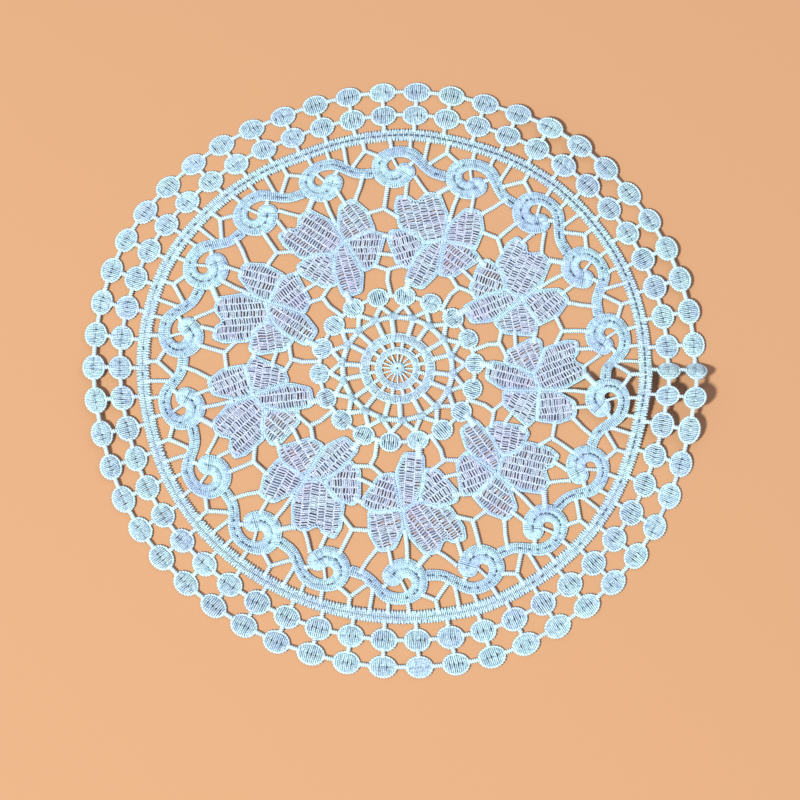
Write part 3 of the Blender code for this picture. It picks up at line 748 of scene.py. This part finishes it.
def inward(outline):
    """The unit vectors into a clockwise or anticlockwise outline, at each of its points."""
    ahead = np.roll(outline, -1, axis=0) - np.roll(outline, 1, axis=0)
    ahead /= np.linalg.norm(ahead, axis=1)[:, None]
    after = np.roll(outline, -1, axis=0)
    area = 0.5 * np.sum(outline[:, 0] * after[:, 1] - after[:, 0] * outline[:, 1])
    return np.stack([-ahead[:, 1], ahead[:, 0]], axis=1) * math.copysign(1.0, area)


def inset(outline, depth):
    """The outline moved inward, without the points that would come too near another side."""
    moved = outline + inward(outline) * depth
    return moved[distances(moved, outline) > 0.93 * depth]


def spans(outline, height):
    """Where a level line runs inside an outline, from left to right, as pairs."""
    found = []
    for a, b in zip(outline, np.roll(outline, -1, axis=0)):
        if (a[1] > height) != (b[1] > height):
            found.append(a[0] + (height - a[1]) / (b[1] - a[1]) * (b[0] - a[0]))
    found = sorted(found)
    return list(zip(found[::2], found[1::2]))


def leaf(edging, filling, corners, direction, column, turn):
    """One leaf: a cord round a padded edge, and the fill."""
    outline = evenly_round(soft_outline(corners), CORD_STEP)
    ground_shapes.append(turned(evenly_round(outline, LEAF_GROUND_STEP), turn))
    line = evenly_round(inset(outline, LEAF_CORD), CORD_STEP)
    cord(edging, turned(line, turn), LEAF_CORD, LEAF_CORD_HIGH)
    base = evenly_round(outline, EDGE_PITCH)
    into = inward(base)
    deep = LEAF_EDGE + chance.normal(EDGE_VARIES, EDGE_VARIES, (len(base), 1))
    ends = base + into * deep
    kept = distances(ends, outline) > 0.8 * deep[:, 0]
    satin(edging, turned((base + into * EDGE_FROM)[kept], turn), turned(ends[kept], turn), EDGE_THREAD,
          low=0.55, high=1.18, first=0.7, points=4, tone=(0.4, 1.0))
    level = turned(inset(outline, LEAF_EDGE - FILL_UNDER), -direction)
    fill(filling, level, column, direction + turn)


def fill(filling, level, column, turn):
    """A leaf's inside, in columns of level stitches, each with its own slits, turned afterwards."""
    bottom, top = level[:, 1].min(), level[:, 1].max()
    left, right = level[:, 0].min(), level[:, 0].max()
    seams = np.linspace(left, right, max(1, int(round((right - left) / column))) + 1)
    seams[1:-1] += chance.normal(0.0, COLUMN_UNEVEN, len(seams) - 2)
    starts, ends = [], []
    for i, (low, high) in enumerate(zip(seams, seams[1:])):
        slope = (-1.0) ** i * chance.uniform(*FILL_SLOPE)
        centre = 0.5 * (low + high)
        height = bottom + chance.uniform(*FILL_FROM)
        while height < top:
            for a, b in spans(level, height):
                start, end = max(a, low), min(b, high)
                if end - start > FILL_LEAST:
                    nudge = chance.normal(0.0, FILL_UNEVEN, 2) + slope * (np.array([start, end]) - centre)
                    starts.append((start - FILL_LAP, height + nudge[0]))
                    ends.append((end + FILL_LAP, height + nudge[1]))
            step = FILL_PITCH * chance.uniform(*FILL_VARIES)
            if chance.random() < SLIT_SHARE:
                wide = FILL_SLIT * chance.uniform(*SLIT_VARIES)
                step += wide
                middle = height + 0.5 * step
                for a, b in spans(level, middle) if chance.random() < OPEN_SHARE else ():
                    start, end = max(a, low) + SLIT_IN, min(b, high) - SLIT_IN
                    if end - start > SLIT_LEAST:
                        slit = oblong(start, end, middle - 0.5 * wide, middle + 0.5 * wide)
                        slit[:, 1] += slope * (slit[:, 0] - centre)
                        ground_slots.append(turned(slit, turn))
            height += step
    satin(filling, turned(starts, turn), turned(ends, turn), FILL_THREAD, low=0.62, high=1.0, points=4,
          taper=-0.22)
    upright = turned(level, 90.0)
    for seam in seams[1:-1]:
        for a, b in spans(upright, seam):
            if b - a > SEAM_LEAST:
                line = resampled([(seam, -a), (seam, -b)], CORD_STEP)
                line[:, 0] += SEAM_SWAY[0] * np.sin(line[:, 1] * SEAM_SWAY[1] + seam)
                cord(filling, turned(line, turn), SEAM_THREAD, SEAM_HIGH, False, SEAM_TONE)


leaf_edges, leaf_fill, sprig_bars = Stitching(), Stitching(), Stitching()
for i in range(SPRIGS):
    here = i * SPRIG_TURN - 90.0
    for direction, column, corners in LEAVES:
        leaf(leaf_edges, leaf_fill, corners, direction, column, here)
    for half, *points in SPRIG_BARS:
        whipped(sprig_bars, turned(points, here), half)
leaf_edges.piece("leaf_edges", scroll_blue)
# leaf_white is the same thread made greyer, painted shade and sheen for how light falls on the long fill
# stitches; its first colour is painted shade
leaf_fill.piece("leaf_fill", thread_material("leaf_white", (0.13, 0.16, 0.28), (0.67, 0.84, 0.90),
                                             (0.69, 0.74, 0.91)))
sprig_bars.piece("sprig_bars", rim_blue)


# The middle
# Eighteen beads on a round of links, a net of whipped bars with a knot under each link, and a
# wheel: a satin band, a round of small holes, a second band, fine spokes and a stitched hub.

HEART_BEADS = (37.1, 5.35, 5.0)          # radius of the centres, half width, half depth
HEART_FIRST, HEART_LINK = 4.5, (6.0, 14.0)     # the first bead, and a link's ends, in degrees
NET_RADIUS, NET_KNOT, NET_PEAK = 26.0, 26.6, 32.4
NET_HALF, SPOKE_HALF, ARM_HALF = 1.45, 1.35, 1.25
SPOKE_TURNS = (-7.0, 16.0)
KNOT_GROUND = (2.3, 1.7, 18)             # half width, half depth, corners
KNOT_REACH, KNOT_STITCHES, KNOT_OVAL = 1.8, 6, (2.5, 1.8)     # the oval is what they would fill
KNOT_THREAD, KNOT_LOW, KNOT_HIGH = 0.38, 1.35, 2.05
WHEEL_BANDS = ((13.3, 17.9), (7.4, 10.8))
WHEEL_PITCH, WHEEL_THREAD, WHEEL_CORD = 0.76, 0.36, 0.42
WHEEL_IN, WHEEL_UNEVEN = 0.3, 0.3        # where stitches and cords lie inside the edges, and how evenly
ROUND_SIDES = 72                         # of the net's ring and of the ground under the bands
WHEEL_HOLES, HOLE_BAR, HOLE_BITE = 16, 0.95, 0.5
WHEEL_SPOKES, FINE_SPOKE, FINE_BITES, FINE_LEAN = 16, 0.45, (0.6, 0.4), 1.5
HUB, HUB_STITCHES, HUB_THREAD = 3.6, 24, 0.34

heart = Stitching()
bead_r, bead_across, bead_along = HEART_BEADS
for i in range(SCROLLS):
    here = HEART_FIRST + i * SCROLL_TURN
    button(heart, bead_r, here, bead_across, bead_along)
    whipped(heart, turned([polar(bead_r, a) for a in HEART_LINK], here), LINK_HALF)
    knot = here + 0.5 * SCROLL_TURN
    for side in (-0.5, 0.5):
        whipped(heart, [polar(NET_PEAK, here), polar(NET_KNOT, here + side * SCROLL_TURN)], ARM_HALF)
    ground_shapes.append(turned(oval(*KNOT_GROUND) + np.array([NET_KNOT, 0.0]), knot))
    across = np.linspace(-KNOT_REACH, KNOT_REACH, KNOT_STITCHES)
    deep = KNOT_OVAL[1] * np.sqrt(1.0 - (across / KNOT_OVAL[0]) ** 2)
    satin(heart, turned(np.stack([NET_KNOT - deep, across], axis=1), knot),
          turned(np.stack([NET_KNOT + deep, across], axis=1), knot), KNOT_THREAD, low=KNOT_LOW,
          high=KNOT_HIGH, tone=(-0.1, 0.2))
for i in range(SPRIGS):
    for spoke in SPOKE_TURNS:
        ends = [(WHEEL_BANDS[0][1] - LINK_BITE, 0.0), (NET_RADIUS, 0.0)]
        whipped(heart, turned(ends, i * SPRIG_TURN + spoke), SPOKE_HALF)
whipped(heart, polar(NET_RADIUS, np.linspace(0.0, 360.0, ROUND_SIDES + 1)), NET_HALF, joined=False)
for inner, outer in WHEEL_BANDS:
    count = int(round(math.pi * (inner + outer) / WHEEL_PITCH))
    turns = np.arange(count) * 360.0 / count
    ends = polar(outer - WHEEL_IN, turns + chance.normal(0.0, WHEEL_UNEVEN, count))
    satin(heart, polar(inner + WHEEL_IN, turns), ends, WHEEL_THREAD, low=0.5, high=1.3, taper=-0.1,
          tone=(0.0, 0.5))
    for radius in (inner + WHEEL_IN, outer - WHEEL_IN):
        edge = polar(radius, np.linspace(0.0, 360.0, int(radius * 10.0), endpoint=False))
        cord(heart, edge, WHEEL_CORD)
    ground_band(inner, outer, ROUND_SIDES)
(outer_in, _), (inner_in, inner_out) = WHEEL_BANDS
for i in range(WHEEL_HOLES):
    ends = [(inner_out - HOLE_BITE, 0.0), (outer_in + HOLE_BITE, 0.0)]
    whipped(heart, turned(ends, 360.0 * (i + 0.5) / WHEEL_HOLES), HOLE_BAR)
for i in range(WHEEL_SPOKES):
    ends = [(HUB - FINE_BITES[0], 0.0), (inner_in + FINE_BITES[1], 0.0)]
    here = 360.0 * i / WHEEL_SPOKES + chance.normal(0.0, FINE_LEAN)
    whipped(heart, turned(ends, here), FINE_SPOKE)
ground_shapes.append(oval(HUB, HUB, HUB_STITCHES))
turns = np.arange(HUB_STITCHES) * 360.0 / HUB_STITCHES
satin(heart, polar(0.5, turns), polar(HUB - 0.1, turns), HUB_THREAD, low=0.5, high=1.25, first=1.1)
heart.piece("heart", rim_blue)


# The ground
# The laid threads under all the stitching, a thin sheet with every opening of the lace in it.
# It is joined from the shapes of all pieces above, and is the cloth that the stitches sit on.
# Its dark blue is painted shade, the shade between and under the stitches.

GROUND_LOW, GROUND_THICK = 0.12, 0.5
GRID_STEP = 3.0                         # between the points inside it that let it bend
SMALL_GAP = 0.3                         # area of a gap that the shapes leave only by chance
JOIN_WITHIN = 0.0005


def area_of(loop):
    after = np.roll(loop, -1, axis=0)
    return 0.5 * np.sum(loop[:, 0] * after[:, 1] - after[:, 0] * loop[:, 1])


def planned(loops, extra=()):
    """The flat cells that closed shapes and single points divide the plan into, and their owners."""
    points, faces = [], []
    for loop in loops:
        loop = np.asarray(loop, float)
        if area_of(loop) < 0.0:
            loop = loop[::-1]
        faces.append(list(range(len(points), len(points) + len(loop))))
        points += [Vector(p) for p in loop]
    points += [Vector(p) for p in extra]
    verts, _, cells, _, _, owners = delaunay_2d_cdt(points, [], faces, 0, JOIN_WITHIN, True)
    return verts, cells, owners


def joined_loops(shapes):
    """The edges of all shapes together, as closed loops with the cloth on their left."""
    verts, cells, owners = planned(shapes)
    edges = set()
    for cell, owner in zip(cells, owners):
        if owner:
            edges.update(zip(cell, cell[1:] + cell[:1]))
    ahead = {}
    for a, b in sorted(edges):
        if (b, a) not in edges:
            ahead.setdefault(a, []).append(b)
    loops = []
    while ahead:
        start = min(ahead)
        here, loop = start, []
        while True:
            loop.append(verts[here])
            onward = ahead[here].pop()
            if not ahead[here]:
                del ahead[here]
            here = onward
            if here == start:
                break
        loops.append(np.array(loop))
    return loops


loops = joined_loops(ground_shapes)
outline = max(loops, key=area_of)
gaps = [loop for loop in loops if area_of(loop) < -SMALL_GAP]
grid = np.arange(-EDGE_RADIUS, EDGE_RADIUS, GRID_STEP)
inside = [(x, y) for x in grid for y in grid if math.hypot(x, y) < EDGE_RADIUS]
verts, cells, owners = planned([outline] + gaps + ground_slots, inside)
cells = [cell for cell, owner in zip(cells, owners) if list(owner) == [0]]
used = {i: k for k, i in enumerate(sorted({i for cell in cells for i in cell}))}
flat = np.array([(*verts[i], GROUND_LOW) for i in used])
mesh = bpy.data.meshes.new("ground")
mesh.from_pydata(laid(flat).tolist(), [], [[used[i] for i in cell] for cell in cells])
mesh.shade_smooth()
ground = in_scene("ground", mesh)
thick = ground.modifiers.new("thickness", "SOLIDIFY")
thick.thickness = GROUND_THICK * MM
thick.offset = 1.0

cloth, surface, shade = fresh_material("laid_thread_in_painted_shade")
place = shade.node("ShaderNodeTexCoord", {}, {}, "Object")
strands = shade.node("ShaderNodeTexNoise", {}, {"Vector": place, "Scale": 1400.0, "Detail": 4.0})
blotch = shade.node("ShaderNodeTexNoise", {}, {"Vector": place, "Scale": 80.0, "Detail": 2.0})
# the dark blues here are painted shade, for the shade between and under the stitches; strands and blotches
# vary them
colour = shade.node("ShaderNodeMix", {"data_type": "RGBA"},
                    {0: strands * 0.7 + blotch * 0.3, 6: (0.05, 0.07, 0.13, 1.0),
                     7: (0.19, 0.27, 0.42, 1.0)}, 2)
bump = shade.node("ShaderNodeBump", {}, {"Strength": 0.5, "Distance": 0.0002, "Height": strands})
colour.feeds(surface, "Base Color")
(0.6 + strands * 0.2).feeds(surface, "Roughness")
bump.feeds(surface, "Normal")
mesh.materials.append(cloth)
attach(ground, "root")
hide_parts("mat")


# The table top
# A plain pale surface under the mat, warm so that the blue of the thread stands off it.

FLOOR_HALF = 3.0

floor = in_scene("floor", bpy.data.meshes.new("floor"))
corners = oblong(-FLOOR_HALF, FLOOR_HALF, -FLOOR_HALF, FLOOR_HALF)
floor.data.from_pydata([(x, y, 0.0) for x, y in corners], [], [(0, 1, 2, 3)])
top, surface, _ = fresh_material("table_top")
surface.inputs["Base Color"].default_value = (0.60, 0.33, 0.165, 1.0)
surface.inputs["Roughness"].default_value = 0.8
floor.data.materials.append(top)


# Light and camera
# A lamp high on the near left throws short shadows up to the right. A wide one and the room's
# faint violet light soften them. The camera looks down from in front, a little turned.

KEY = ((-2.3, -2.4, 4.1), 0.6, 332.0, (1.0, 1.0, 0.94))    # place, size, watts, colour
FILL = ((0.9, 0.8, 1.6), 1.8, 3.0, (1.0, 1.0, 1.0))
ROOM_COLOUR, ROOM_LIGHT = (0.84, 0.78, 1.0, 1.0), 0.45
for name, (spot, size, watts, colour) in (("key", KEY), ("fill", FILL)):
    lamp = bpy.data.lights.new(name, "AREA")
    lamp.size, lamp.energy, lamp.color = size, watts, colour
    holder = in_scene(name, lamp)
    holder.location = spot
    holder.rotation_euler = (-Vector(spot)).to_track_quat("-Z", "Y").to_euler()
world = bpy.data.worlds.new("room")
world.use_nodes = True
background = world.node_tree.nodes["Background"]
background.inputs["Color"].default_value = ROOM_COLOUR
background.inputs["Strength"].default_value = ROOM_LIGHT
bpy.context.scene.world = world
bpy.context.scene.view_settings.view_transform = "Standard"

FOCAL_PX, FRAME_PX, SENSOR = 3384.8, 800, 36.0
CAMERA_UP, CAMERA_TURN, CAMERA_ROLL = 70.01, -5.376, 5.582
CAMERA_AWAY, CAMERA_AIM = 1.6007, (0.94, -13.84)
up_angle, turn_angle = math.radians(CAMERA_UP), math.radians(-CAMERA_TURN)
aim = turned([CAMERA_AIM], CAMERA_TURN)[0]
aim = Vector(((aim[0] - BOX_MIDDLE[0]) * MM, (aim[1] - BOX_MIDDLE[1]) * MM, 0.0))
back = Vector((-math.cos(up_angle) * math.sin(turn_angle), -math.cos(up_angle) * math.cos(turn_angle),
               math.sin(up_angle)))
camera = in_scene("camera", bpy.data.cameras.new("camera"))
camera.data.sensor_width = SENSOR
camera.data.lens = FOCAL_PX / FRAME_PX * SENSOR
camera.data.clip_start, camera.data.clip_end = 0.05, 20.0
level_view = (-back).to_track_quat("-Z", "Y").to_matrix().to_4x4()
roll = Matrix.Rotation(math.radians(CAMERA_ROLL), 4, "Z")
camera.matrix_world = Matrix.Translation(aim + back * CAMERA_AWAY) @ level_view @ roll
bpy.context.scene.camera = camera
